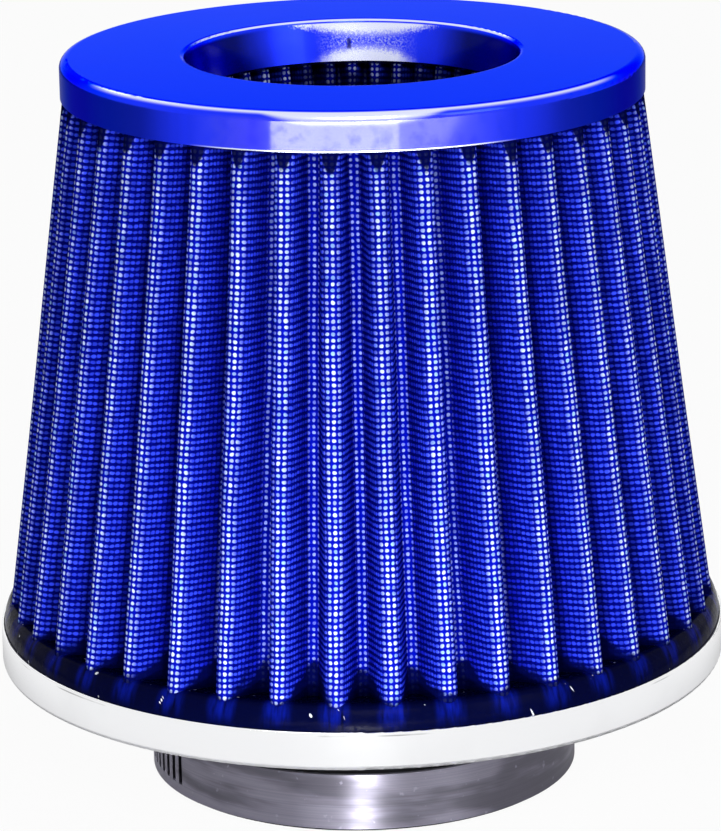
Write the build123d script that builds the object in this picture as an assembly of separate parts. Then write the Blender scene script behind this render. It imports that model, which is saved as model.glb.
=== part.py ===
from build123d import *
import os
from math import acos, atan2, cos, degrees, hypot, pi, radians, sin

# Cone air filter that stands on its inlet neck. Millimetres, +Z up along the filter's axis,
# origin on that axis at the neck's open end. The front of the filter looks along -Y.

# Whole filter
overall_height = 156.0

# Rubber inlet neck
neck_bore = 76.0
neck_wall = 7.0
neck_edge_round = 0.7
neck_mouth_round = 2.0
neck_flange_reach = 9.0
neck_flange_thickness = 3.0
neck_bead_reach = 2.5
neck_bead_thickness = 2.5

# Chromed base pan
base_diameter = 155.0
base_underside = 25.8
base_rim_height = 8.2
base_sheet = 0.6
base_bend = 1.0

# Blue top cap
cap_diameter = 121.8
cap_skirt_height = 8.0
cap_sheet = 0.6
cap_edge_bend = 1.9
bell_bore = 70.0
bell_throat = 66.4
bell_depth = 8.9
bell_bend = 0.9

# Outer pleats
outer_pleat_count = 41
outer_pleat_depth = 11.0
outer_pack_thickness = 1.0
outer_fold_radius = 1.7
outer_gap_in_pan = 0.2
outer_gap_in_cap = 0.5

# Inner pleats, an inverted cone below the bell mouth
inner_pleat_count = 44
inner_pleat_depth = 8.0
inner_pack_thickness = 0.8
inner_fold_radius = 0.75
inner_length = 76.0
inner_gap_at_bell = 0.5
inner_lower_bore = 40.0

# Resin that holds the pleats' ends
pleat_end_bed = 2.0
base_resin_shoulder = 1.6
base_resin_crest = 5.2
base_resin_inset = 1.9
base_resin_bore = 102.0
base_resin_dish = 4.4
resin_shoulder_round = 8.0
resin_crest_round = 2.0
cap_resin_recess = 0.5
bell_resin_drop = 0.6

# Nose cup at the lower end of the inner pleats
nose_sheet = 0.8
nose_height = 7.0
nose_bend = 2.4
nose_gap = 0.4
nose_resin_recess = 1.2

# Hose clamp round the neck
clamp_height = 0.8
band_width = 12.0
band_sheet = 0.8
band_layer_gap = 0.1
band_end_round = 3.0
slot_width = 1.4
slot_length = 7.6
slot_pitch = 2.95
first_slot_from_front = 58.7
housing_from_front = 135.0
housing_length = 14.0
housing_sheet = 0.7
worm_diameter = 6.8
worm_gap = 0.35
journal_diameter = 4.4
journal_clearance = 0.05
screw_end_play = 0.15
screw_collar_thickness = 1.0
screw_head_across_flats = 7.0
screw_head_length = 4.5
screw_slot_width = 1.1
screw_slot_depth = 1.7
screw_rivet_diameter = 5.4
screw_rivet_thickness = 0.8

# Angles along the band, in degrees from the housing's middle
band_head_lead = 11.0
band_ramp_end = 13.0
band_ramp = 14.0
band_tail = 34.0

# Radii and heights that follow from the sizes above
neck_radius = neck_bore / 2 + neck_wall
pan_radius = base_diameter / 2
pan_inner_radius = pan_radius - base_sheet
pan_floor = base_underside + base_sheet
pan_rim = base_underside + base_rim_height
flange_top = pan_floor + neck_flange_thickness
flange_radius = neck_radius + neck_flange_reach

cap_radius = cap_diameter / 2
cap_inner_radius = cap_radius - cap_sheet
cap_ceiling = overall_height - cap_sheet
cap_skirt_edge = overall_height - cap_skirt_height
bell_radius = bell_bore / 2
bell_outer_radius = bell_radius + cap_sheet
throat_radius = bell_throat / 2
throat_outer_radius = throat_radius + cap_sheet
bell_edge = overall_height - bell_depth

outer_low = pan_floor + pleat_end_bed
outer_high = cap_ceiling - pleat_end_bed
outer_low_radius = pan_inner_radius - outer_gap_in_pan
outer_high_radius = cap_inner_radius - outer_gap_in_cap

inner_high = cap_ceiling - pleat_end_bed
inner_low = inner_high - inner_length
inner_low_radius = inner_lower_bore / 2
# The cone's folds pass the bell's lower edge at the stated gap.
inner_lean = (throat_outer_radius + inner_gap_at_bell - inner_low_radius) / (bell_edge - inner_low)
inner_high_radius = inner_low_radius + inner_lean * inner_length

nose_floor = inner_low - pleat_end_bed
nose_rim = nose_floor - nose_sheet + nose_height
# The cone widens upwards, so the cup clears it at its rim.
nose_inner_radius = inner_low_radius + inner_pleat_depth + nose_gap + inner_lean * (nose_rim - inner_low)

band_low = clamp_height
band_high = clamp_height + band_width
band_middle = clamp_height + band_width / 2
lower_layer = neck_radius
upper_layer = neck_radius + band_sheet + band_layer_gap
band_outer_radius = upper_layer + band_sheet
# The clamp's places are counted clockwise from the front, and the band's second layer is a turn on.
front = -90.0
housing_angle = front - housing_from_front
worm_radius = worm_diameter / 2
screw_axis_radius = band_outer_radius + worm_gap + worm_radius
arch_inner_radius = worm_radius + worm_gap
arch_outer_radius = arch_inner_radius + housing_sheet
shoulder_radius = band_outer_radius + worm_gap / 2
housing_half = housing_length / 2


def polar(radius, angle):
    """The point at a radius and an angle in degrees round the filter's axis."""
    return (radius * cos(radians(angle)), radius * sin(radians(angle)))


def turned(corners):
    """A piece turned about the axis from its half section, given as (radius, height, rounding)."""
    section = make_face(Polyline(*[(r, z) for r, z, _ in corners], close=True))
    for r, z, rounding in corners:
        if rounding > 0:
            corner = section.vertices().sort_by_distance((r, z, 0))[0]
            section = fillet(corner, rounding)
    return revolve(Plane.XZ * section, Axis.Z)


def pleat_outline(tip, root, count, fold, side, tip_facets, root_facets):
    """Closed zigzag of one face of a pleated pack, between a root and a tip radius.

    Each pleat has a rounded tip and a rounded root about two fold centres, joined by the
    straight line that touches both folds. side is the distance from the pack's middle. A root
    lies at the filter's front.
    """
    pitch = 2 * pi / count
    tip_centre = tip - fold
    root_x = (root + fold) * cos(pitch / 2)
    root_y = (root + fold) * sin(pitch / 2)
    reach = hypot(root_x - tip_centre, root_y)
    lean = atan2(root_y, root_x - tip_centre) - acos(2 * fold / reach)
    points = []
    for pleat in range(count):
        turn = radians(front) + (pleat + 0.5) * pitch
        for step in range(tip_facets + 1):
            normal = lean * (2 * step / tip_facets - 1)
            x = tip_centre + (fold + side) * cos(normal)
            y = (fold + side) * sin(normal)
            points.append((x * cos(turn) - y * sin(turn), x * sin(turn) + y * cos(turn)))
        for step in range(root_facets + 1):
            normal = lean + (pitch - 2 * lean) * step / root_facets
            x = root_x - (fold - side) * cos(normal)
            y = root_y - (fold - side) * sin(normal)
            points.append((x * cos(turn) - y * sin(turn), x * sin(turn) + y * cos(turn)))
    return points


def pleated_cone(low, high, low_tip, high_tip, depth, count, thickness, fold, facets):
    """A pleated pack closed into a cone, ruled from its lower zigzag to its upper one."""

    def skin(side):
        sections = []
        for height, tip in ((low, low_tip), (high, high_tip)):
            middle_tip = tip - thickness / 2
            middle_root = tip - depth + thickness / 2
            points = pleat_outline(middle_tip, middle_root, count, fold, side, *facets)
            sections.append(Pos(0, 0, height) * make_face(Polyline(*points, close=True)))
        return loft(sections, ruled=True)

    return skin(thickness / 2) - skin(-thickness / 2)


def make_outer_element():
    """The large pleated cone between the pan and the cap."""
    return pleated_cone(
        outer_low, outer_high, outer_low_radius, outer_high_radius,
        outer_pleat_depth, outer_pleat_count, outer_pack_thickness, outer_fold_radius, (3, 2),
    )


def make_inner_element():
    """The inverted cone of small pleats that hangs from the cap."""
    return pleated_cone(
        inner_low, inner_high,
        inner_low_radius + inner_pleat_depth, inner_high_radius + inner_pleat_depth,
        inner_pleat_depth, inner_pleat_count, inner_pack_thickness, inner_fold_radius, (2, 2),
    )


def make_top_cap():
    """One pressed ring: outer skirt, flat top, and the bell mouth drawn down to a narrower throat."""
    return turned([
        (cap_radius, cap_skirt_edge, 0),
        (cap_radius, overall_height, cap_edge_bend),
        (bell_radius, overall_height, bell_bend),
        (throat_radius, bell_edge, 0),
        (throat_outer_radius, bell_edge, 0),
        (bell_outer_radius, cap_ceiling, bell_bend - cap_sheet),
        (cap_inner_radius, cap_ceiling, cap_edge_bend - cap_sheet),
        (cap_inner_radius, cap_skirt_edge, 0),
    ])


def make_top_potting(outer_element, inner_element):
    """Resin poured into the upturned cap round both sets of pleats."""
    bell_resin = bell_edge - bell_resin_drop
    skirt_resin = cap_skirt_edge + cap_resin_recess
    between = (outer_high_radius - outer_pleat_depth + inner_high_radius + inner_pleat_depth) / 2
    fill = turned([
        (throat_outer_radius, bell_resin, 0),
        (throat_outer_radius, bell_edge, 0),
        (bell_outer_radius, cap_ceiling, bell_bend - cap_sheet),
        (cap_inner_radius, cap_ceiling, cap_edge_bend - cap_sheet),
        (cap_inner_radius, skirt_resin, 0),
        (between, skirt_resin, 0),
        (between, bell_resin, 0),
    ])
    return fill - outer_element - inner_element


def make_base_pan():
    """Shallow pressed dish with an upright rim and a round hole for the neck."""
    return turned([
        (neck_radius, base_underside, 0),
        (pan_radius, base_underside, base_bend),
        (pan_radius, pan_rim, base_sheet / 3),
        (pan_inner_radius, pan_rim, base_sheet / 3),
        (pan_inner_radius, pan_floor, base_bend - base_sheet),
        (neck_radius, pan_floor, 0),
    ])


def make_base_potting(outer_element):
    """Resin ring that fills the pan and locks the neck's flange down.

    It swells above the pan's rim to a crest at the ridges, then dishes towards the middle.
    """
    crest = pan_rim + base_resin_crest
    fill = turned([
        (flange_radius, pan_floor, 0),
        (pan_inner_radius, pan_floor, base_bend - base_sheet),
        (pan_inner_radius, pan_rim + base_resin_shoulder, resin_shoulder_round),
        (pan_inner_radius - base_resin_inset, crest, resin_crest_round),
        (base_resin_bore / 2, crest - base_resin_dish, 0),
        (base_resin_bore / 2, flange_top, 0),
        (flange_radius, flange_top, 0),
    ])
    return fill - outer_element


def make_neck_sleeve():
    """Moulded neck: a plain tube, with a bead and a flange that grip the pan's hole."""
    return turned([
        (neck_bore / 2, 0, 0),
        (neck_radius, 0, neck_edge_round),
        (neck_radius, base_underside - neck_bead_thickness, 0),
        (neck_radius + neck_bead_reach, base_underside - neck_bead_thickness, neck_edge_round),
        (neck_radius + neck_bead_reach, base_underside, 0),
        (neck_radius, base_underside, 0),
        (neck_radius, pan_floor, 0),
        (flange_radius, pan_floor, 0),
        (flange_radius, flange_top, 0),
        (neck_bore / 2, flange_top, neck_mouth_round),
    ])


def make_nose_cap():
    """Round cup that closes the lower end of the inverted cone."""
    outside = nose_inner_radius + nose_sheet
    return turned([
        (0, nose_floor - nose_sheet, 0),
        (outside, nose_floor - nose_sheet, nose_bend),
        (outside, nose_rim, nose_sheet / 3),
        (nose_inner_radius, nose_rim, nose_sheet / 3),
        (nose_inner_radius, nose_floor, nose_bend - nose_sheet),
        (0, nose_floor, 0),
    ])


def make_nose_potting(inner_element):
    """Resin in the nose cup round the inner pleats' lower ends."""
    level = nose_rim - nose_resin_recess
    fill = turned([
        (0, nose_floor, 0),
        (nose_inner_radius, nose_floor, nose_bend - nose_sheet),
        (nose_inner_radius, level, 0),
        (0, level, 0),
    ])
    return fill - inner_element


def make_clamp_band():
    """Steel strip wound once round the neck, its slotted tail lifted over its own head."""
    head = housing_angle + band_head_lead
    ramp_end = housing_angle + band_ramp_end - 360
    ramp_start = ramp_end + band_ramp
    tail = housing_angle - band_tail - 360

    def run(radius, start, end):
        return CenterArc((0, 0), radius, start, end - start)

    def lift(start_radius, end_radius):
        middle = polar((start_radius + end_radius) / 2, (ramp_start + ramp_end) / 2)
        return ThreePointArc(polar(start_radius, ramp_start), middle, polar(end_radius, ramp_end))

    low = (lower_layer, upper_layer)
    high = (lower_layer + band_sheet, upper_layer + band_sheet)
    outline = [
        run(low[0], head, ramp_start),
        lift(*low),
        run(low[1], ramp_end, tail),
        Line(polar(low[1], tail), polar(high[1], tail)),
        run(high[1], tail, ramp_end),
        lift(*high),
        run(high[0], ramp_start, head),
        Line(polar(high[0], head), polar(low[0], head)),
    ]
    band = Pos(0, 0, band_low) * extrude(make_face(outline), band_width)
    end_middle = polar(upper_layer + band_sheet / 2, tail)
    corners = band.edges().sort_by_distance((*end_middle, band_low))[:1]
    corners += band.edges().sort_by_distance((*end_middle, band_high))[:1]
    band = fillet(corners, band_end_round)

    slot_step = degrees(slot_pitch / upper_layer)
    angle = front - first_slot_from_front - 360
    slots = []
    while angle > tail + slot_step * 1.5:
        share = min(1.0, max(0.0, (ramp_start - angle) / band_ramp))
        radius = lower_layer + band_sheet / 2 + share * (upper_layer - lower_layer)
        place = Pos(0, 0, band_middle) * Rot(0, 0, angle) * Pos(radius, 0, 0)
        slots.append(place * Box(band_sheet + band_layer_gap, slot_width, slot_length))
        angle -= slot_step
    return band - slots


def clamp_plane():
    """Section plane at the housing's middle: X along the filter's axis, Y away from it."""
    out = Vector(*polar(1, housing_angle), 0)
    along = Vector(*polar(1, housing_angle - 90), 0)
    return Plane(origin=(0, 0, band_middle), x_dir=out.cross(along), z_dir=along)


def make_clamp_housing():
    """Pressed saddle: legs down the band's edges, an arch over the worm, and pierced ends."""
    section = clamp_plane()
    leg_in = band_width / 2
    leg_out = leg_in + housing_sheet
    axis_y = screw_axis_radius
    shoulder_top = shoulder_radius + housing_sheet

    def half_shape(leg, shoulder, arch):
        body = Pos(0, (neck_radius + shoulder) / 2 - band_sheet) * Rectangle(
            2 * leg, shoulder - neck_radius + 2 * band_sheet)
        tower = Pos(0, (shoulder + axis_y) / 2) * Rectangle(2 * arch, axis_y - shoulder)
        return body + tower + Pos(0, axis_y) * Circle(arch)

    outside = half_shape(leg_out, shoulder_top, arch_outer_radius)
    inside = half_shape(leg_in, shoulder_radius, arch_inner_radius)
    shell = extrude(section * outside, housing_half, both=True)
    shell -= extrude(section * inside, housing_half, both=True)
    ends = Pos(0, (shoulder_radius + axis_y) / 2) * Rectangle(
        2 * arch_inner_radius, axis_y - shoulder_radius)
    ends += Pos(0, axis_y) * Circle(arch_inner_radius)
    ends -= Pos(0, axis_y) * Circle(journal_diameter / 2 + journal_clearance)
    for offset in (-housing_half, housing_half - housing_sheet):
        shell += extrude(section.offset(offset) * ends, housing_sheet)
    return shell - extrude(Circle(neck_radius), band_high + band_width)


def make_clamp_screw():
    """Worm screw: worm, two journals, a collar with a slotted hexagon head, a riveted tip."""
    section = clamp_plane()
    axis_y = screw_axis_radius
    inside = housing_half - housing_sheet - screw_end_play
    outside = housing_half + screw_end_play

    def disc(start, end, diameter):
        return extrude(section.offset(start) * Pos(0, axis_y) * Circle(diameter / 2), end - start)

    collar_end = outside + screw_collar_thickness
    head_end = collar_end + screw_head_length
    screw = disc(-inside, inside, worm_diameter)
    screw += disc(-outside, outside, journal_diameter)
    screw += disc(-outside - screw_rivet_thickness, -outside, screw_rivet_diameter)
    screw += disc(outside, collar_end, worm_diameter)
    hexagon = RegularPolygon(screw_head_across_flats / 2, 6, major_radius=False)
    screw += extrude(section.offset(collar_end) * Pos(0, axis_y) * hexagon, screw_head_length)
    slot = Rectangle(2 * screw_head_across_flats, screw_slot_width)
    screw -= extrude(
        section.offset(head_end - screw_slot_depth) * Pos(0, axis_y) * slot, 2 * screw_slot_depth)
    return screw


os.makedirs("parts", exist_ok=True)
outer_element = make_outer_element()
inner_element = make_inner_element()
export_step(outer_element, "parts/outer_element.step")
export_step(inner_element, "parts/inner_element.step")
export_step(make_top_cap(), "parts/top_cap.step")
export_step(make_top_potting(outer_element, inner_element), "parts/top_potting.step")
export_step(make_base_pan(), "parts/base_pan.step")
export_step(make_base_potting(outer_element), "parts/base_potting.step")
export_step(make_neck_sleeve(), "parts/neck_sleeve.step")
export_step(make_nose_cap(), "parts/nose_cap.step")
export_step(make_nose_potting(inner_element), "parts/nose_potting.step")
export_step(make_clamp_band(), "parts/clamp_band.step")
export_step(make_clamp_housing(), "parts/clamp_housing.step")
export_step(make_clamp_screw(), "parts/clamp_screw.step")
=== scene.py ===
import math

import bpy
import numpy as np
from bpy.props import FloatProperty, FloatVectorProperty, IntProperty, PointerProperty
from bpy.types import Operator, Panel, PropertyGroup
from mathutils import Matrix, Vector


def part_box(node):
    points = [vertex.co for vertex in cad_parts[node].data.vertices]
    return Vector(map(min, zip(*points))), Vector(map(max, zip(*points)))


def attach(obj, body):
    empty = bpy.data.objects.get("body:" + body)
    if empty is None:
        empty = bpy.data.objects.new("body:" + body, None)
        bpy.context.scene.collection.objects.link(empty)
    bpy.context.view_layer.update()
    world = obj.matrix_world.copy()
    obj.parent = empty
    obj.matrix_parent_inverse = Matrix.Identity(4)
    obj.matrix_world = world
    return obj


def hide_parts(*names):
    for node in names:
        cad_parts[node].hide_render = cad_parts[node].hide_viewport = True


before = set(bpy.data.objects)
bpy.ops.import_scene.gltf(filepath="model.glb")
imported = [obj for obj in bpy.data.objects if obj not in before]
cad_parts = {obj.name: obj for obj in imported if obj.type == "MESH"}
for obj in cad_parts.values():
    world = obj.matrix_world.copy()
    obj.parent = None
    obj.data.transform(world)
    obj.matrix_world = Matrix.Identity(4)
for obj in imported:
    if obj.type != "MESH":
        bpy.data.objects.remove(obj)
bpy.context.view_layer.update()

bl_info = {
    "name": "Cone air filter",
    "version": (1, 0, 0),
    "blender": (4, 5, 0),
    "location": "3D View > Sidebar > Filter",
    "description": "Dresses a pleated cone air filter and lights it as a studio still",
    "category": "Object",
}

MM = 0.001
FRONT = -math.pi / 2
OUTER_LOW, OUTER_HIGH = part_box("outer_element")
INNER_LOW, INNER_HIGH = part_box("inner_element")
CAP_LOW, CAP_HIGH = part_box("top_cap")
PAN_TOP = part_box("base_pan")[1].z
RESIN_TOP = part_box("base_potting")[1].z
NOSE_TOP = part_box("nose_cap")[1].z
SKIRT_EDGE = CAP_LOW.z + 0.9 * MM
BELL_RADIUS = 35 * MM

PICTURE_HEIGHT = 831
SENSOR_HEIGHT = 36
NEAREST_SEEN = 0.05
FLOOR_RADIUS = 2.5
FLOOR_RINGS = 8
FLOOR_SPOKES = 64
FLOOR_WHITE = 0.95
WHITE = (1.0, 1.0, 1.0, 1.0)

# Each lamp's name, place, target, and width and height, in metres. Its power is in Studio.
LAMPS = (
    ("key", (0.05, -1.0, 0.75), (0, 0, 0.09), (0.4, 0.4)),
    ("side", (0.80, -0.75, 0.60), (0, 0, 0.08), (0.5, 0.5)),
    ("back", (-0.30, 0.90, 0.90), (0, 0, 0.08), (0.5, 0.5)),
    ("strip", (-0.0565, -0.40, 0.07), (-0.0565, 0, 0.07), (0.343, 0.03)),
    ("fill", (0.2825, -0.40, 0.07), (0.2825, 0, 0.07), (0.335, 0.03)),
    ("card", (-0.003, -0.25, 0.02), (0, 0, 0.02), (0.042, 0.02)),
)


def length(name, description, default):
    return FloatProperty(name=name, description=description, default=default, unit="LENGTH", precision=5)


def share(name, description, default):
    return FloatProperty(name=name, description=description, default=default, min=0, subtype="FACTOR")


def angle(name, description, degrees):
    return FloatProperty(
        name=name, description=description, default=math.radians(degrees), subtype="ANGLE")


def power(name, description, watts):
    return FloatProperty(name=name, description=description, default=watts, unit="POWER")


def colour(name, description, default):
    return FloatVectorProperty(
        name=name, description=description, default=default, size=3, min=0, max=1, subtype="COLOR")


class OuterPleats(PropertyGroup):
    """Sizes of the large pleated cone."""

    count: IntProperty(name="Pleats", description="Pleats round the cone", default=41, min=8)
    sectors: IntProperty(name="Sectors", description="Pieces that the cone is made in", default=8, min=1)
    low: length("Lower end", "Height of the pleats' lower ends", OUTER_LOW.z)
    high: length("Upper end", "Height of the pleats' upper ends", OUTER_HIGH.z)
    low_tip: length("Lower radius", "Radius over the ridges at the lower end", 76.7 * MM)
    high_tip: length("Upper radius", "Radius over the ridges at the upper end", 59.8 * MM)
    depth: length("Depth", "Ridge to valley across the pack", 11 * MM)
    thickness: length("Pack", "Thickness of gauze and cloth together", 1 * MM)
    fold: length("Fold", "Radius of the folds at the pack's middle", 1.7 * MM)
    sway: length("Sway", "How far a ridge wanders from a straight line", 0.2 * MM)
    opening: length("Opening", "Pitch of the gauze's wires", 1.24 * MM)


class InnerPleats(PropertyGroup):
    """Sizes of the inverted cone of small pleats."""

    count: IntProperty(name="Pleats", description="Pleats round the cone", default=44, min=8)
    sectors: IntProperty(name="Sectors", description="Pieces that the cone is made in", default=2, min=1)
    low: length("Lower end", "Height of the pleats' lower ends", INNER_LOW.z)
    high: length("Upper end", "Height of the pleats' upper ends", INNER_HIGH.z)
    low_tip: length("Lower radius", "Radius over the ridges at the lower end", 28 * MM)
    high_tip: length("Upper radius", "Radius over the ridges at the upper end", 43.592 * MM)
    depth: length("Depth", "Ridge to valley across the pack", 8 * MM)
    thickness: length("Pack", "Thickness of gauze and cloth together", 0.8 * MM)
    fold: length("Fold", "Radius of the folds at the pack's middle", 0.75 * MM)
    sway: length("Sway", "How far a ridge wanders from a straight line", 0.15 * MM)
    opening: length("Opening", "Pitch of the gauze's wires", 1.24 * MM)


class Finishes(PropertyGroup):
    """Colours of the filter's surfaces."""

    lacquer: colour("Lacquer", "Metallic lacquer of the top cap", (0.012, 0.034, 0.97))
    sheen: colour("Sheen", "Lacquer at a grazing angle", (0.22, 0.325, 1.0))
    # Painted reflection tint at the front of the skirt.
    violet: colour("Violet", "Lacquer at the front of the skirt", (0.016, 0.012, 0.97))
    # Painted highlight: the pale tone of the bends and the patches at the back of the bell wall.
    pale_highlight: colour("Worn lacquer", "Bends and patches where the lacquer is thin", (0.82, 0.86, 0.98))
    # Painted highlight: the pale cloth along the ridges.
    painted_ridge_highlight: colour("Faded cloth", "Cloth behind the gauze along the ridges", (0.68, 0.81, 1.0))
    cloth: colour("Cloth", "Cloth behind the gauze beside the ridges", (0.035, 0.07, 1.0))
    # Painted shade: the dark cloth low on the flanks.
    painted_flank_shade: colour("Deep cloth", "Cloth low on the flanks", (0.012, 0.022, 0.95))
    # Painted light: the paler cloth along the valleys.
    valley: colour("Valley cloth", "Cloth along the valleys", (0.40, 0.50, 1.0))
    # Painted highlight: the pale cloth along the inner cone's ridges.
    painted_inner_highlight: colour("Inner cloth", "Cloth along the inner cone's folds", (0.60, 0.70, 1.0))
    # Painted highlight: the cyan tone of a few openings on the ridges.
    glint: colour("Tinted cloth", "Cloth in the few openings that look cyan", (0.30, 0.66, 1.0))
    dim: colour("Dim cloth", "Cloth and wire in the shadow of the folds", (0.0005, 0.001, 0.03))
    soaked: colour("Soaked cloth", "Cloth that resin has soaked", (0.0008, 0.0018, 0.05))
    wire: colour("Wire", "Coated wire of the gauze", (0.001, 0.005, 0.43))
    resin: colour("Resin", "Cast resin round the pleats' ends", (0.0005, 0.0012, 0.020))
    # Painted reflection of the ridges in the resin's wall.
    painted_ridge_reflection: colour("Veiled ridges", "Ridges that show through the resin", (0.003, 0.010, 0.30))
    # Painted glints on the resin.
    painted_glint: colour("Flecks", "Bright flecks in the resin", (0.75, 0.78, 0.85))
    chrome: colour("Chrome", "Plating of the base pan", (0.90, 0.905, 0.92))
    steel: colour("Steel", "Rolled strip of the hose clamp", (0.36, 0.345, 0.428))
    zinc: colour("Zinc", "Plating of the clamp screw", (0.58, 0.57, 0.55))
    rubber: colour("Rubber", "Moulded inlet neck", (0.003, 0.003, 0.0035))
    plastic: colour("Plastic", "Moulded nose cup", (0.018, 0.019, 0.024))


class Studio(PropertyGroup):
    """Camera, lamps and floor."""

    distance: length("Distance", "Camera's distance in front of the axis", 0.8681)
    height: length("Height", "Camera's height above the floor", 0.330)
    pitch: angle("Pitch", "Camera's tilt below level", 16.25)
    roll: angle("Roll", "Camera's turn about its own axis", -1.0)
    yaw: angle("Yaw", "Camera's turn to the right", 0.03)
    focal: FloatProperty(
        name="Focal length", description=f"In pixels of a picture {PICTURE_HEIGHT} high", default=4245,
        subtype="PIXEL")
    key: power("Key", "Power of the main lamp", 3.6)
    side: power("Side", "Power of the lamp on the right", 2.2)
    back: power("Back", "Power of the lamp behind", 1.6)
    strip: power("Strip", "Power of the low wide lamp in front", 0.37)
    fill: power("Fill", "Power of the low lamp beside it", 0.14)
    card: power("Card", "Power of the low narrow lamp in front", 0.36)
    sky: share("Sky", "Strength of the even light from all round", 0.12)
    floor: colour("Floor", "Pale floor under the filter", (0.92, 0.92, 0.93))


class ConeFilter(PropertyGroup):
    """All settings of the filter."""

    outer: PointerProperty(name="Outer pleats", description="The large cone", type=OuterPleats)
    inner: PointerProperty(name="Inner pleats", description="The inverted cone", type=InnerPleats)
    finish: PointerProperty(name="Finishes", description="Colours of the surfaces", type=Finishes)
    studio: PointerProperty(name="Studio", description="Camera, lamps and floor", type=Studio)


class Signal:
    """One value among the nodes. Sums and products of signals add Math nodes."""

    def __init__(self, nodes, socket):
        self.nodes = nodes
        self.socket = socket

    def math(self, operation, *terms):
        return self.nodes.node("ShaderNodeMath", {"operation": operation}, dict(enumerate(terms)))

    def __add__(self, other):
        return self.math("ADD", self, other)

    def __mul__(self, other):
        return self.math("MULTIPLY", self, other)

    def __sub__(self, other):
        return self.math("SUBTRACT", self, other)

    def __rsub__(self, other):
        return self.math("SUBTRACT", other, self)

    def __truediv__(self, other):
        return self.math("DIVIDE", self, other)

    __radd__ = __add__
    __rmul__ = __mul__

    def __abs__(self):
        return self.math("ABSOLUTE", self)

    def __pow__(self, other):
        return self.math("POWER", self, other)

    def most(self, other):
        return self.math("MAXIMUM", self, other)

    def cosine(self):
        return self.math("COSINE", self)

    def part(self):
        return self.math("FRACT", self)

    def whole(self):
        return self.math("FLOOR", self)

    def rise(self, start, end):
        """0 before start and 1 after end, with a smooth step between.

        Where end is below start, it falls from 1 to 0 instead.
        """
        return self.nodes.node(
            "ShaderNodeMapRange", {"interpolation_type": "SMOOTHSTEP"},
            {"Value": self, "From Min": start, "From Max": end})

    def also(self, name):
        """Another output of the same node."""
        return Signal(self.nodes, self.socket.node.outputs[name])


class Nodes:
    """The nodes of a material or a world, which are added by one method."""

    def __init__(self, owner):
        owner.use_nodes = True
        self.tree = owner.node_tree

    def node(self, kind, settings=None, sockets=None, output=0):
        """A node of this kind with its settings, then its sockets' values or links. Gives one output."""
        made = self.tree.nodes.new(kind)
        for name, value in (settings or {}).items():
            setattr(made, name, value)
        for name, value in (sockets or {}).items():
            if isinstance(value, Signal):
                self.tree.links.new(value.socket, made.inputs[name])
            else:
                made.inputs[name].default_value = value
        return Signal(self, made.outputs[output])

    def lead(self, value, node, socket):
        """Leads a value to a node that was there from the start."""
        self.tree.links.new(value.socket, self.tree.nodes[node].inputs[socket])


class Surface(Nodes):
    """A material with one Principled shader."""

    def __init__(self, name, **constants):
        self.material = bpy.data.materials.new(name)
        super().__init__(self.material)
        self.shader = self.tree.nodes["Principled BSDF"]
        for socket, value in constants.items():
            self.shader.inputs[socket.replace("_", " ")].default_value = value

    def place(self):
        """The surface's own place in metres, as one vector and as its three parts."""
        at = self.node("ShaderNodeTexCoord", output="Object")
        parts = self.node("ShaderNodeSeparateXYZ", sockets={0: at})
        return at, parts, parts.also("Y"), parts.also("Z")

    def vector(self, x, y, z):
        return self.node("ShaderNodeCombineXYZ", sockets={0: x, 1: y, 2: z})

    def noise(self, at, scale, detail=2.0, rough=0.5):
        return self.node(
            "ShaderNodeTexNoise", {"noise_dimensions": "3D"},
            {"Vector": at, "Scale": scale, "Detail": detail, "Roughness": rough})

    def mix(self, factor, first, second):
        """Colour that goes from the first to the second as the factor goes from 0 to 1."""
        first, second = [
            tone if isinstance(tone, Signal) else (*tone, 1.0) for tone in (first, second)]
        return self.node(
            "ShaderNodeMix", {"data_type": "RGBA"}, {0: factor, 6: first, 7: second}, output=2)

    def feed(self, socket, value):
        self.lead(value, "Principled BSDF", socket)

    def bump(self, height, distance, strength=1.0):
        made = self.node(
            "ShaderNodeBump", sockets={"Height": height, "Distance": distance, "Strength": strength})
        self.feed("Normal", made)


def shade(value, factor):
    """A colour made lighter or darker by one factor."""
    return tuple(min(1.0, part * factor) for part in value)


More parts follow.
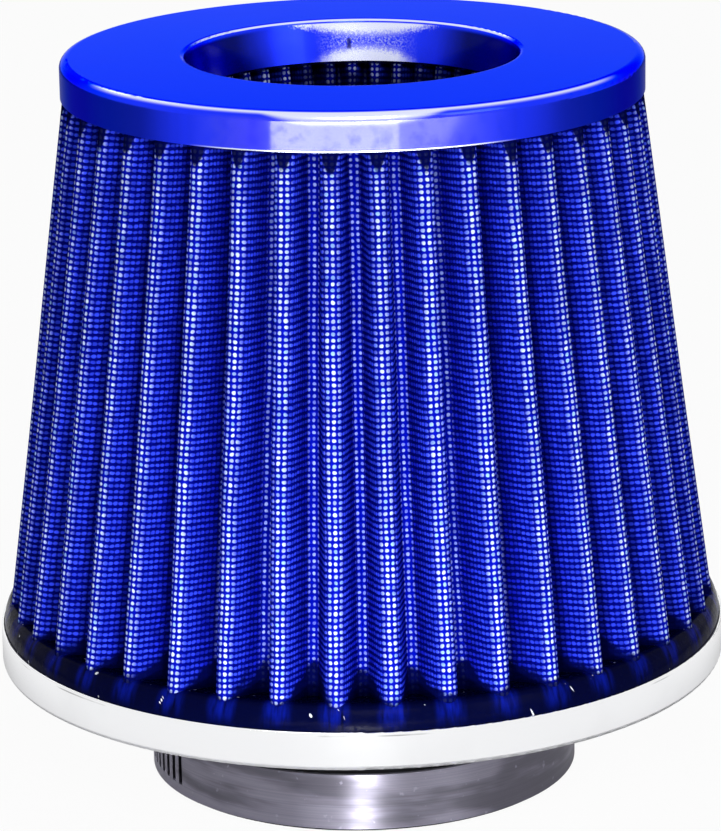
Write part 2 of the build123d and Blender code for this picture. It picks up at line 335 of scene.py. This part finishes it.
def gauze_surface(name, finish, crest, light, uneven, gloom, soak_low, soak_high, wick):
    """Wire gauze over cloth.

    The weave map counts wires across and along. The fold attribute is 1 on a ridge and -1 in a valley.
    The openings are widest on the ridges. Light and shade are painted into the colour: the cloth and
    wire are painted pale on the ridges and lighter in the valleys, painted shade makes the flanks
    darkest above the valleys and dims the cloth below gloom, and light scales the cloth's and wire's
    painted tones.
    Patches fade by the share uneven. Resin has soaked the cloth below soak_low and above soak_high, and
    by wick further along the ridges.
    """
    s = Surface(name, Specular_IOR_Level=0.0)
    at, _, _, z = s.place()
    weave = s.node("ShaderNodeUVMap", {"uv_map": "weave"})
    parts = s.node("ShaderNodeSeparateXYZ", sockets={0: weave})
    fold = s.node("ShaderNodeAttribute", {"attribute_name": "fold"}, output="Fac")
    jitter = s.node("ShaderNodeSeparateXYZ", sockets={0: s.noise(weave, 0.8, 1.0).also("Color")})
    across = parts + (s.noise(weave, 0.11, 1.0) - 0.5) * 0.4 + (jitter - 0.5) * 0.35
    along = parts.also("Y") + (s.noise(weave, 0.07, 1.0) - 0.5) * 0.8 + (jitter.also("Y") - 0.5) * 0.35
    patch = s.noise(at, 90.0, 3.0)
    ridge = (fold + (patch - 0.5) * uneven).rise(0.62, 0.95)
    trough = fold.rise(-0.66, -0.90)
    level = ridge.most(trough)

    # Distance from the middle of an opening each way. On the flanks, wires along the pleat fade out.
    from_middle = abs(across.part() - 0.5)
    off_row = abs(along.part() - 0.5)
    reach = (from_middle * (0.60 + level * 0.40)) ** 2.2 + off_row ** 2.2
    opening = (reach * (1 - ridge * 0.22)).rise(0.095, 0.016)
    column = from_middle.rise(0.30, 0.42)
    row = off_row.rise(0.30, 0.42)

    # Plain weave: a wire rides over one crossing and under the next.
    over = (along * math.pi + (across + 0.5).whole() * math.pi).cosine()
    under = (across * math.pi + (along + 0.5).whole() * math.pi).cosine()
    wire_height = (column * (0.62 + over * 0.38)).most(row * (0.62 - under * 0.38))

    cell = s.vector(across.whole(), along.whole(), 0.0)
    each = s.node("ShaderNodeTexWhiteNoise", {"noise_dimensions": "3D"}, {"Vector": cell})
    # Painted light: the cloth is pale on the ridges, lighter in the valleys and dark low on the flanks.
    cloth = s.mix(fold.rise(-0.5, 0.5), shade(finish.painted_flank_shade, light), shade(finish.cloth, light))
    cloth = s.mix(ridge, cloth, crest)
    # Painted light: the valleys' cloth is lighter, as if lit.
    cloth = s.mix(trough, cloth, shade(finish.valley, light))
    cloth = s.mix(each.rise(0.25, 1.0) * 0.5, cloth, shade(finish.cloth, 0.8 * light))
    tint = s.node("ShaderNodeSeparateXYZ", sockets={0: each.also("Color")})
    # Painted highlight: a few openings on the ridges turn a paler cyan.
    cloth = s.mix(ridge * tint.rise(0.6, 1.0) * 0.5, cloth, shade(finish.glint, light))
    # Painted light: the wire is brighter on the ridges and in the valleys than on the flanks.
    wire = s.mix(level, shade(finish.wire, 0.42 * light), shade(finish.wire, light))
    tone = s.mix(opening * (1 - tint.also("Z").rise(0.3, 1.0) * 0.45), wire, cloth)
    # Painted shade: the flanks above the valleys and the cloth below gloom turn near black, and random
    # patches darken too.
    shadow = fold.rise(0.40, -0.40) * fold.rise(-0.90, -0.68)
    dim = (patch.rise(0.58, 0.40) * 0.7 * uneven).most(z.rise(gloom + 1.5 * MM, gloom) * 0.7)
    tone = s.mix((shadow * 0.42).most(dim), tone, finish.dim)

    # Resin drawn up into the cloth next to the cast ends.
    ragged = (s.noise(at, 700.0, 2.0) - 0.5) * 2.6 * MM + (s.noise(at, 130.0, 1.0) - 0.5) * 7.0 * MM
    lower = (z + ragged + (fold - 1) * 2.0 * MM).rise(soak_low + 2.0 * MM, soak_low)
    upper = (z + ragged * 0.6 + ridge * wick).rise(soak_high, soak_high + 1.6 * MM)
    soaked = lower.most(upper)
    tone = s.mix(soaked * 0.985, tone, finish.soaked)
    s.feed("Base Color", tone)
    s.feed("Roughness", (0.42 + opening * 0.45) * (1 - soaked) + soaked * 0.3)
    s.bump(wire_height * (1 - soaked * 0.6) + patch * 0.15, 0.22 * MM, 0.8)
    return s.material


def lacquer_surface(finish):
    """Metallic lacquer on pressed sheet.

    It has a thin peel and draw marks down the walls. Highlights are painted pale along the front bend,
    the lower edge at the front and the crease of the bell mouth at the back, and in two patches at the
    back of its wall, with one painted dark reflection between them. Painted shade darkens the sides of
    that wall. The skirt's front is painted more violet, as the tint of its reflection, under a clear
    coat that is thick only at the front and stained.
    """
    s = Surface(
        "blue_lacquer", Metallic=1.0, Specular_Tint=(*finish.sheen, 1.0),
        Coat_Roughness=0.08, Coat_IOR=1.6)
    at, x, y, z = s.place()
    radius = (x * x + y * y) ** 0.5
    forward = (0 - y) / radius
    peel = s.noise(at, 260.0, 2.0)
    cloud = s.noise(at, 24.0, 3.0)
    drawn = s.noise(s.vector(x * 420.0, y * 420.0, z * 12.0), 1.0, 2.0)
    mottle = s.noise(at, 2400.0, 2.0)
    down = CAP_HIGH.z - z
    wall = down.rise(0.8 * MM, 2.2 * MM)
    outside = radius.rise(CAP_HIGH.x - 8 * MM, CAP_HIGH.x - 6 * MM)
    within = radius.rise(BELL_RADIUS + 2.0 * MM, BELL_RADIUS + 1.4 * MM)

    # Painted highlights: pale lacquer on the front bend, the skirt's lower edge at the front, the bell
    # mouth's crease at the back and patches at the back of the bell wall.
    depth = (0.6 + forward.rise(0.95, 0.993) * 1.4) * MM
    bend = outside * down.rise(0.10 * MM, 0.30 * MM) * down.rise(depth * 1.9, depth * 0.5) ** 3
    bend = bend * forward.rise(0.45, 0.62)
    lip = z.rise(SKIRT_EDGE + 0.35 * MM, SKIRT_EDGE + 0.15 * MM) * outside * forward.rise(0.84, 0.93)
    crease = within * down.rise(0.10 * MM, 0.18 * MM) * down.rise(0.55 * MM, 0.42 * MM)
    crease = crease * forward.rise(-0.2, -0.5)
    highlight_middle = 3.0 * MM
    aside = abs(x - highlight_middle) + (drawn - 0.5) * 4.0 * MM
    speckle = (mottle - 0.5) * 2.4 * MM
    upper = (down + aside * aside * 12.0 + speckle).rise(4.2 * MM, 2.2 * MM)
    upper = down.rise(0.7 * MM, 1.0 * MM) * upper
    lower = (down - aside * aside * 20.0 - speckle).rise(5.0 * MM, 7.2 * MM)
    lower = lower * aside.rise(13.0 * MM, 5.0 * MM)
    between = mottle.rise(0.36, 0.74) * 0.5 * wall * aside.rise(12.0 * MM, 3.0 * MM)
    pale_highlight = within * y.rise(0.0, 0.01) * upper.most(lower).most(between)
    # Painted shade at the sides of the bell wall.
    painted_side_shade = within * down.rise(0.6 * MM, 1.6 * MM) * (forward + (cloud - 0.5) * 0.1).rise(-0.92, -0.68)
    # A painted dark reflection at the back of the bell wall.
    reflection_middle = -0.6 * MM
    dark_reflection = abs(x - reflection_middle).rise(0.7 * MM, 0.2 * MM) * within * y.rise(0.0, 0.01)
    dark_reflection = dark_reflection * down.rise(3.8 * MM, 4.4 * MM) * down.rise(6.6 * MM, 6.0 * MM)

    tone = s.mix((cloud - 0.35) * 0.5, finish.lacquer, shade(finish.lacquer, 0.88))
    tone = s.mix(wall * (drawn - 0.4) * 0.5, tone, shade(finish.lacquer, 0.7))
    # Painted reflection tint: the skirt's front is more violet.
    tone = s.mix(wall * outside * forward.rise(0.88, 0.96) * 0.6, tone, finish.violet)
    tone = s.mix(painted_side_shade * 0.92, tone, shade(finish.lacquer, 0.05))
    pale = bend.most(lip).most(crease).most(pale_highlight)
    tone = s.mix(pale * 0.9, tone, finish.pale_highlight)
    tone = s.mix(dark_reflection * 0.85, tone, shade(finish.lacquer, 0.12))
    s.feed("Base Color", tone)
    s.feed("Roughness", 0.13 + cloud * 0.08 + wall * drawn * 0.08)
    stain = s.noise(at, 350.0, 3.0).rise(0.46, 0.70)
    s.feed("Coat Weight", wall * (0.05 + forward.rise(0.84, 0.95) * (0.78 - stain * 0.3)))
    s.bump((peel + wall * drawn * 0.4) * 0.006, MM)
    return s.material


def resin_surface(finish, pleats):
    """Dark cast resin with fine pits, painted faint reflections of the ridges in its wall and painted
    bright glints.
    """
    s = Surface("cast_resin", Specular_IOR_Level=0.012)
    at, x, y, z = s.place()
    round_axis = x.math("ARCTAN2", y, x)
    ridge = 0.5 - ((round_axis - FRONT) * float(pleats.count)).cosine() * 0.5
    smear = s.noise(s.vector(round_axis * 60.0, z * 160.0, 0.0), 1.0, 2.0)
    above_pan = z.rise(PAN_TOP - 0.5 * MM, RESIN_TOP - 1.0 * MM)
    # Painted reflection: the ridges show faintly in the resin's wall.
    through = ridge.rise(0.25, 1.0) * smear.rise(0.25, 0.70) * above_pan
    # Painted glints: small bright flecks.
    painted_glint = s.noise(s.vector(x * 720.0 + z * 450.0, y * 720.0, z * 150.0), 1.0, 1.0).rise(0.745, 0.775)
    pits = s.noise(at, 900.0, 2.0)
    swell = s.noise(at, 160.0, 3.0)
    tone = s.mix(through * 0.8, finish.resin, finish.painted_ridge_reflection)
    tone = s.mix(painted_glint, tone, finish.painted_glint)
    s.feed("Base Color", tone)
    s.feed("Roughness", 0.2 + pits.rise(0.5, 0.8) * 0.25)
    s.bump(swell + pits * 0.15, 0.35 * MM, 0.6)
    return s.material


def chrome_surface(finish):
    """Bright plating with hairline marks round the axis and a little haze."""
    s = Surface("bright_chrome", Metallic=1.0)
    at, x, y, z = s.place()
    hairs = s.noise(s.vector(x * 18.0, y * 18.0, z * 9000.0), 1.0, 3.0, 0.6)
    haze = s.noise(at, 45.0, 3.0)
    below = PAN_TOP - z
    # A painted dark reflection: a thin line just below the pan's top edge.
    line = below.rise(0.55 * MM, 0.7 * MM) * below.rise(1.0 * MM, 0.85 * MM) * haze.rise(0.5, 0.62)
    tone = s.mix(haze.rise(0.45, 0.75) * 0.35, finish.chrome, shade(finish.chrome, 0.86))
    s.feed("Base Color", s.mix(line * 0.7, tone, shade(finish.chrome, 0.3)))
    s.feed("Roughness", 0.05 + haze * 0.07 + hairs * 0.05)
    s.bump(hairs, 0.004 * MM, 0.35)
    return s.material


def strip_surface(name, base):
    """Rolled steel strip: lines along the band, cloudy darker bands and small bright spots."""
    s = Surface(name, Metallic=1.0, Anisotropic=0.95, Anisotropic_Rotation=0.25)
    at, x, y, z = s.place()
    lines = s.noise(s.vector(x * 14.0, y * 14.0, z * 5200.0), 1.0, 3.0, 0.65)
    waves = s.noise(s.vector(x * 34.0 + z * 50.0, y * 34.0, z * 150.0), 1.0, 3.0)
    spots = s.noise(at, 520.0, 2.0)
    tone = s.mix(lines.rise(0.3, 0.75) * 0.55, base, shade(base, 0.62))
    tone = s.mix(waves.rise(0.44, 0.62) * 0.68, tone, shade(base, 0.28))
    tone = s.mix(spots.rise(0.66, 0.74) * 0.4, tone, shade(base, 1.5))
    s.feed("Base Color", tone)
    s.feed("Roughness", 0.30 + lines * 0.14 + waves * 0.08)
    s.bump(lines + spots * 0.3, 0.02 * MM, 0.5)
    return s.material


def zinc_surface(finish):
    """Zinc plate: a fine mottle with duller patches."""
    s = Surface("zinc_plate", Metallic=1.0)
    at, *_ = s.place()
    mottle = s.noise(at, 700.0, 3.0)
    dull = s.noise(at, 180.0, 2.0)
    s.feed("Base Color", s.mix(mottle.rise(0.35, 0.7) * 0.6, finish.zinc, shade(finish.zinc, 0.7)))
    s.feed("Roughness", 0.24 + dull * 0.25)
    s.bump(mottle, 0.03 * MM, 0.6)
    return s.material


def rubber_surface(finish):
    """Moulded rubber: soft grain, bloom in patches and rings from the mould."""
    s = Surface("moulded_rubber", Specular_IOR_Level=0.03)
    at, _, _, z = s.place()
    grain = s.noise(at, 1500.0, 2.0)
    bloom = s.noise(at, 60.0, 4.0)
    rings = s.noise(s.vector(0.0, 0.0, z * 2600.0), 1.0, 1.0)
    s.feed("Base Color", s.mix(bloom.rise(0.4, 0.75) * 0.6, finish.rubber, shade(finish.rubber, 1.7)))
    s.feed("Roughness", 0.48 + bloom * 0.3)
    s.bump(grain + rings * 0.5, 0.05 * MM, 0.5)
    return s.material


def plastic_surface(finish):
    """Moulded plastic with a spark-eroded grain."""
    s = Surface("moulded_plastic", Specular_IOR_Level=0.5)
    at, *_ = s.place()
    grain = s.noise(at, 2200.0, 2.0)
    dust = s.noise(at, 120.0, 3.0)
    s.feed("Base Color", s.mix(dust.rise(0.5, 0.8) * 0.5, finish.plastic, shade(finish.plastic, 2.2)))
    s.feed("Roughness", 0.38 + grain * 0.2)
    s.bump(grain, 0.04 * MM, 0.7)
    return s.material


def pleat_section(sizes, tips, side, steps):
    """Half of one pleat, from its ridge's middle to its valley's middle, for each height.

    The ridge is an arc about one fold centre and the valley an arc about another, and the flank is the
    straight line that touches both. side is the distance from the pack's middle surface. Gives x out
    along the ridge and y sideways, as arrays of heights by points.
    """
    pitch = 2 * math.pi / sizes.count
    fold = sizes.fold
    tip_centre = tips - sizes.thickness / 2 - fold
    root = tips - sizes.depth + sizes.thickness / 2 + fold
    root_x = root * math.cos(pitch / 2)
    root_y = root * math.sin(pitch / 2)
    reach = np.hypot(root_x - tip_centre, root_y)
    lean = np.arctan2(root_y, root_x - tip_centre) - np.arccos(2 * fold / reach)
    ridge_steps, flank_steps, root_steps = steps
    on_tip = lean * np.linspace(0, 1, ridge_steps + 1)
    on_root = lean + (pitch / 2 - lean) * np.linspace(0, 1, root_steps + 1)
    tip_x = tip_centre + (fold + side) * np.cos(on_tip)
    tip_y = (fold + side) * np.sin(on_tip)
    low_x = root_x - (fold - side) * np.cos(on_root)
    low_y = root_y - (fold - side) * np.sin(on_root)
    down = np.linspace(0, 1, flank_steps + 1)[1:-1]
    flank_x = tip_x[:, -1:] * (1 - down) + low_x[:, :1] * down
    flank_y = tip_y[:, -1:] * (1 - down) + low_y[:, :1] * down
    return np.hstack([tip_x, flank_x, low_x]), np.hstack([tip_y, flank_y, low_y])


def pleat_run(sizes, first, last, rows, steps, seed):
    """A run of pleats with both faces of the pack, closed at its ends.

    Each pleat is the half section and its mirror image, turned to its place round the axis. A ridge
    wanders sideways and in by a few sines of the height, which die out at the ends and meet halfway
    at each valley. The weave map counts wires by the distance walked round each skin, and by the
    distance up the ridge's own slope. Gives points, four-sided faces, weave map and fold values.
    """
    rise = np.linspace(0, 1, rows)
    tips = (sizes.low_tip + (sizes.high_tip - sizes.low_tip) * rise)[:, None]
    pitch = 2 * math.pi / sizes.count
    draws = np.random.default_rng(seed)
    phase = draws.uniform(0, 1, (3, sizes.count))
    held = np.sin(math.pi * rise)[:, None]

    # How far each ridge wanders sideways and sinks inwards at each height.
    wander = held * sizes.sway * (
        0.7 * np.sin(2 * math.pi * (0.5 * rise[:, None] + phase[0]))
        + 0.5 * np.sin(2 * math.pi * (1.3 * rise[:, None] + phase[1])))
    sink = held * sizes.sway * 0.4 * (
        1 + np.sin(2 * math.pi * (0.9 * rise[:, None] + phase[2])))
    height = (sizes.high - sizes.low) * rise[:, None]
    lean = math.atan2(sizes.low_tip - sizes.high_tip, sizes.high - sizes.low)

    # Each pleat's last column is the next one's first, so only the last pleat keeps it.
    skins, maps, folds = [], [], []
    pleats = np.arange(first, last)
    keep = np.ones((len(pleats), 2 * sum(steps) + 1), bool)
    keep[:-1, -1] = False
    for side in (sizes.thickness / 2, -sizes.thickness / 2):
        half_x, half_y = pleat_section(sizes, tips, side, steps)
        stride = np.hypot(np.diff(half_x[rows // 2]), np.diff(half_y[rows // 2]))
        walk = np.concatenate([[0], np.cumsum(stride)])
        columns = round(2 * sizes.count * walk[-1] / sizes.opening) / sizes.count
        sidle = np.concatenate([-walk[:0:-1], walk]) / walk[-1]
        x = np.hstack([half_x[:, :0:-1], half_x])
        y = np.hstack([-half_y[:, :0:-1], half_y])
        near = wander[:, pleats][:, :, None]
        beside = wander[:, (pleats[:, None] + np.where(sidle < 0, -1, 1)) % sizes.count]
        sway = near + (beside - near) * 0.5 * np.abs(sidle)
        inward = sink[:, pleats][:, :, None] * (1 - np.abs(sidle)) ** 2
        turn = FRONT + (pleats[None, :, None] + 0.5) * pitch + sway / tips[:, :, None]
        out = x[:, None, :] - inward
        px = out * np.cos(turn) - y[:, None, :] * np.sin(turn)
        py = out * np.sin(turn) + y[:, None, :] * np.cos(turn)
        u = (pleats[:, None] + 0.5 + sidle / 2) * columns
        v = (height * math.cos(lean) + (sizes.low_tip - x) * math.sin(lean)) / sizes.opening
        fold = math.copysign(1, side) * (1 - 2 * np.abs(sidle))
        every = np.broadcast_arrays(px, py, sizes.low + height[:, :, None], u, v[:, None, :], fold)
        px, py, pz, u, v, fold = [values[:, keep] for values in every]
        skins.append(np.stack([px, py, pz], -1))
        maps.append(np.stack([u, v], -1))
        folds.append(fold)

    # The outer skin and the inner one, walked back, make one loop at each height.
    width = skins[0].shape[1]
    loop = 2 * width
    points, weave, folds = [
        np.concatenate([near, far[:, ::-1]], 1) for near, far in (skins, maps, folds)]

    row, column = np.meshgrid(np.arange(rows - 1), np.arange(loop), indexing="ij")
    after = (column + 1) % loop
    low = row * loop
    high = low + loop
    walls = np.stack([low + column, low + after, high + after, high + column], -1)
    step = np.arange(width - 1)
    floor = np.stack([step, loop - 1 - step, loop - 2 - step, step + 1], -1)
    lid = floor[:, ::-1] + (rows - 1) * loop
    faces = np.concatenate([walls.reshape(-1, 4), floor, lid])
    return points.reshape(-1, 3), faces, weave.reshape(-1, 2), folds.reshape(-1)


def add_piece(name, points, faces, weave, folds, material):
    """A mesh object of four-sided faces from whole arrays.

    The faces are turned to point outwards: the volume is the sum over their triangles of one corner's
    product with the cross product of the other two, and where it is negative, they are reversed.
    """
    corner = points[faces]
    volume = (corner[:, 0] * np.cross(corner[:, 1], corner[:, 2])).sum()
    volume += (corner[:, 0] * np.cross(corner[:, 2], corner[:, 3])).sum()
    if volume < 0:
        faces = faces[:, ::-1]
    mesh = bpy.data.meshes.new(name)
    mesh.vertices.add(len(points))
    mesh.vertices.foreach_set("co", points.astype(np.float32).ravel())
    mesh.loops.add(faces.size)
    mesh.loops.foreach_set("vertex_index", faces.astype(np.int32).ravel())
    mesh.polygons.add(len(faces))
    mesh.polygons.foreach_set("loop_start", np.arange(0, faces.size, 4, dtype=np.int32))
    mesh.polygons.foreach_set("use_smooth", np.ones(len(faces), bool))
    layer = mesh.uv_layers.new(name="weave")
    layer.uv.foreach_set("vector", weave[faces.ravel()].astype(np.float32).ravel())
    values = mesh.attributes.new("fold", "FLOAT", "POINT")
    values.data.foreach_set("value", folds.astype(np.float32))
    mesh.materials.append(material)
    mesh.update()
    if mesh.validate():
        raise RuntimeError(f"{name} has faces that Blender refuses")
    piece = bpy.data.objects.new(name, mesh)
    bpy.context.scene.collection.objects.link(piece)
    return piece


def dress(node, material):
    """Gives a CAD node's object its material."""
    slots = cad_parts[node].data.materials
    slots.clear()
    slots.append(material)


def pleated_pieces(name, node, sizes, material, rows, steps, seed):
    """One cone of pleats in several runs that meet at valleys and together stand for the CAD node."""
    edges = np.linspace(0, sizes.count, sizes.sectors + 1).round().astype(int)
    for number, (first, last) in enumerate(zip(edges[:-1], edges[1:]), 1):
        points, faces, weave, folds = pleat_run(sizes, first, last, rows, steps, seed)
        piece = add_piece(f"{name}_{number}", points, faces, weave, folds, material)
        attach(piece, "filter")
        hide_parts(node)


class OuterGauze(Operator):
    """Builds the large cone of pleats between the pan and the cap"""

    bl_idname = "cone_filter.outer_gauze"
    bl_label = "Outer pleats"

    def execute(self, context):
        settings = context.scene.cone_filter
        finish = settings.finish
        material = gauze_surface(
            "outer_gauze", finish, crest=finish.painted_ridge_highlight, light=1.0, uneven=0.2, gloom=0.0,
            soak_low=RESIN_TOP - 0.5 * MM, soak_high=SKIRT_EDGE - 0.6 * MM, wick=4.2 * MM)
        pleated_pieces(
            "outer_gauze", "outer_element", settings.outer, material, rows=36, steps=(5, 4, 3), seed=11)
        return {"FINISHED"}


class InnerGauze(Operator):
    """Builds the inverted cone of small pleats below the bell mouth"""

    bl_idname = "cone_filter.inner_gauze"
    bl_label = "Inner pleats"

    def execute(self, context):
        settings = context.scene.cone_filter
        finish = settings.finish
        # light=0.8 paints the inner cone darker as shade, and gloom paints shade on it low down.
        material = gauze_surface(
            "inner_gauze", finish, crest=finish.painted_inner_highlight, light=0.8, uneven=1.2,
            gloom=CAP_HIGH.z - 13.5 * MM, soak_low=NOSE_TOP - 0.5 * MM,
            soak_high=CAP_LOW.z + 1.0 * MM, wick=1.0 * MM)
        pleated_pieces(
            "inner_gauze", "inner_element", settings.inner, material, rows=16, steps=(3, 3, 3), seed=12)
        return {"FINISHED"}


class CapLacquer(Operator):
    """Finishes the top cap in metallic lacquer"""

    bl_idname = "cone_filter.cap_lacquer"
    bl_label = "Top cap"

    def execute(self, context):
        dress("top_cap", lacquer_surface(context.scene.cone_filter.finish))
        return {"FINISHED"}


class CastResin(Operator):
    """Finishes the three resin castings"""

    bl_idname = "cone_filter.cast_resin"
    bl_label = "Cast resin"

    def execute(self, context):
        settings = context.scene.cone_filter
        material = resin_surface(settings.finish, settings.outer)
        for node in ("base_potting", "top_potting", "nose_potting"):
            dress(node, material)
        return {"FINISHED"}


class PanChrome(Operator):
    """Finishes the base pan in bright chrome"""

    bl_idname = "cone_filter.pan_chrome"
    bl_label = "Base pan"

    def execute(self, context):
        dress("base_pan", chrome_surface(context.scene.cone_filter.finish))
        return {"FINISHED"}


class NeckAndNose(Operator):
    """Finishes the rubber neck and the plastic nose cup"""

    bl_idname = "cone_filter.neck_and_nose"
    bl_label = "Neck and nose cup"

    def execute(self, context):
        finish = context.scene.cone_filter.finish
        dress("neck_sleeve", rubber_surface(finish))
        dress("nose_cap", plastic_surface(finish))
        return {"FINISHED"}


class HoseClamp(Operator):
    """Finishes the clamp's band, housing and screw"""

    bl_idname = "cone_filter.hose_clamp"
    bl_label = "Hose clamp"

    def execute(self, context):
        finish = context.scene.cone_filter.finish
        dress("clamp_band", strip_surface("rolled_band", finish.steel))
        dress("clamp_housing", strip_surface("pressed_housing", shade(finish.steel, 1.15)))
        dress("clamp_screw", zinc_surface(finish))
        return {"FINISHED"}


def floor_surface(pale):
    """Pale floor, nearly white to the camera, and in reflections a little way from the filter."""
    s = Surface("pale_floor", Base_Color=(*pale, 1.0), Roughness=0.9, Specular_IOR_Level=0.1)
    rays = s.node("ShaderNodeLightPath", output="Is Camera Ray")
    _, x, y, _ = s.place()
    radius = (x * x + y * y) ** 0.5
    near = radius.rise(0.09, 0.15) * radius.rise(0.50, 0.30).most(y.rise(-0.02, -0.36))
    seen = (rays * FLOOR_WHITE).most(rays.also("Is Glossy Ray") * near * FLOOR_WHITE)
    white = s.node("ShaderNodeEmission", sockets={"Color": WHITE, "Strength": 1.0})
    lit = Signal(s, s.shader.outputs[0])
    both = s.node("ShaderNodeMixShader", sockets={0: seen, 1: lit, 2: white})
    s.lead(both, "Material Output", "Surface")
    return s.material


def add_floor(pale):
    """A disc: each point lies at its ring's radius and its spoke's angle, about one in the middle."""
    rings = np.linspace(0.0, FLOOR_RADIUS, FLOOR_RINGS + 1)[1:, None]
    spokes = np.linspace(0, 2 * math.pi, FLOOR_SPOKES + 1)[None, :-1]
    disc = np.stack([rings * np.cos(spokes), rings * np.sin(spokes), 0 * rings * spokes], -1)
    points = np.concatenate([[[0, 0, 0]], disc.reshape(-1, 3)])
    ring, spoke = np.meshgrid(np.arange(FLOOR_RINGS - 1), np.arange(FLOOR_SPOKES), indexing="ij")
    here = 1 + ring * FLOOR_SPOKES + spoke
    beside = 1 + ring * FLOOR_SPOKES + (spoke + 1) % FLOOR_SPOKES
    quads = np.stack([here, here + FLOOR_SPOKES, beside + FLOOR_SPOKES, beside], -1).reshape(-1, 4)
    middle = [(0, 1 + a, 1 + (a + 1) % FLOOR_SPOKES) for a in range(FLOOR_SPOKES)]
    mesh = bpy.data.meshes.new("floor")
    mesh.from_pydata(points.tolist(), [], middle + quads.tolist())
    mesh.materials.append(floor_surface(pale))
    floor = bpy.data.objects.new("floor", mesh)
    bpy.context.scene.collection.objects.link(floor)


def add_lamp(name, place, target, size, watts):
    """A soft lamp of this width and height that faces its target."""
    lamp = bpy.data.lights.new(name, "AREA")
    lamp.shape = "RECTANGLE"
    lamp.size, lamp.size_y = size
    lamp.energy = watts
    piece = bpy.data.objects.new(name, lamp)
    piece.location = place
    piece.rotation_euler = (Vector(target) - Vector(place)).to_track_quat("-Z", "Y").to_euler()
    bpy.context.scene.collection.objects.link(piece)


def add_sky(strength):
    """White to the camera, in reflections and through glass, and a weak even light on surfaces."""
    world = bpy.data.worlds.new("sky")
    s = Nodes(world)
    rays = s.node("ShaderNodeLightPath", output="Is Camera Ray")
    seen = rays.most(rays.also("Is Glossy Ray")).most(rays.also("Is Transmission Ray"))
    shown = s.node("ShaderNodeMapRange", sockets={"Value": seen, "To Min": strength})
    s.tree.nodes["Background"].inputs["Color"].default_value = WHITE
    s.lead(shown, "Background", "Strength")
    bpy.context.scene.world = world


def add_camera(studio):
    """A camera in front of the axis, turned aside, then tilted down, then rolled."""
    camera = bpy.data.cameras.new("camera")
    camera.sensor_fit = "VERTICAL"
    camera.sensor_height = SENSOR_HEIGHT
    camera.lens = studio.focal * SENSOR_HEIGHT / PICTURE_HEIGHT
    camera.clip_start = NEAREST_SEEN
    viewer = bpy.data.objects.new("camera", camera)
    place = Matrix.Translation((0, -studio.distance, studio.height))
    aside = Matrix.Rotation(-studio.yaw, 4, "Z")
    tilt = Matrix.Rotation(math.pi / 2 - studio.pitch, 4, "X")
    turn = Matrix.Rotation(studio.roll, 4, "Z")
    viewer.matrix_world = place @ aside @ tilt @ turn
    bpy.context.scene.collection.objects.link(viewer)
    bpy.context.scene.camera = viewer


class StageSet(Operator):
    """Adds the floor, the lamps, the sky and the camera"""

    bl_idname = "cone_filter.stage"
    bl_label = "Stage"

    def execute(self, context):
        studio = context.scene.cone_filter.studio
        context.scene.view_settings.view_transform = "Standard"
        add_floor(studio.floor)
        for name, place, target, size in LAMPS:
            add_lamp(f"{name}_lamp", place, target, size, getattr(studio, name))
        add_sky(studio.sky)
        add_camera(studio)
        return {"FINISHED"}


BUILDERS = (OuterGauze, InnerGauze, CapLacquer, CastResin, PanChrome, NeckAndNose, HoseClamp, StageSet)
SETTINGS = (OuterPleats, InnerPleats, Finishes, Studio, ConeFilter)


class FilterPanel(Panel):
    """Lists the filter's pieces and settings"""

    bl_idname = "VIEW3D_PT_cone_filter"
    bl_label = "Cone air filter"
    bl_space_type = "VIEW_3D"
    bl_region_type = "UI"
    bl_category = "Filter"

    def draw(self, context):
        settings = context.scene.cone_filter
        for builder in BUILDERS:
            self.layout.operator(builder.bl_idname)
        for group in (settings.outer, settings.inner, settings.finish, settings.studio):
            box = self.layout.box()
            for name in group.__annotations__:
                box.prop(group, name)


def register():
    for each in (*SETTINGS, *BUILDERS, FilterPanel):
        bpy.utils.register_class(each)
    bpy.types.Scene.cone_filter = PointerProperty(type=ConeFilter)


def unregister():
    del bpy.types.Scene.cone_filter
    for each in reversed((*SETTINGS, *BUILDERS, FilterPanel)):
        bpy.utils.unregister_class(each)


def main():
    register()
    bpy.ops.cone_filter.outer_gauze()
    bpy.ops.cone_filter.inner_gauze()
    bpy.ops.cone_filter.cap_lacquer()
    bpy.ops.cone_filter.cast_resin()
    bpy.ops.cone_filter.pan_chrome()
    bpy.ops.cone_filter.neck_and_nose()
    bpy.ops.cone_filter.hose_clamp()
    bpy.ops.cone_filter.stage()
    bpy.context.view_layer.update()


if __name__ == "__main__":
    main()
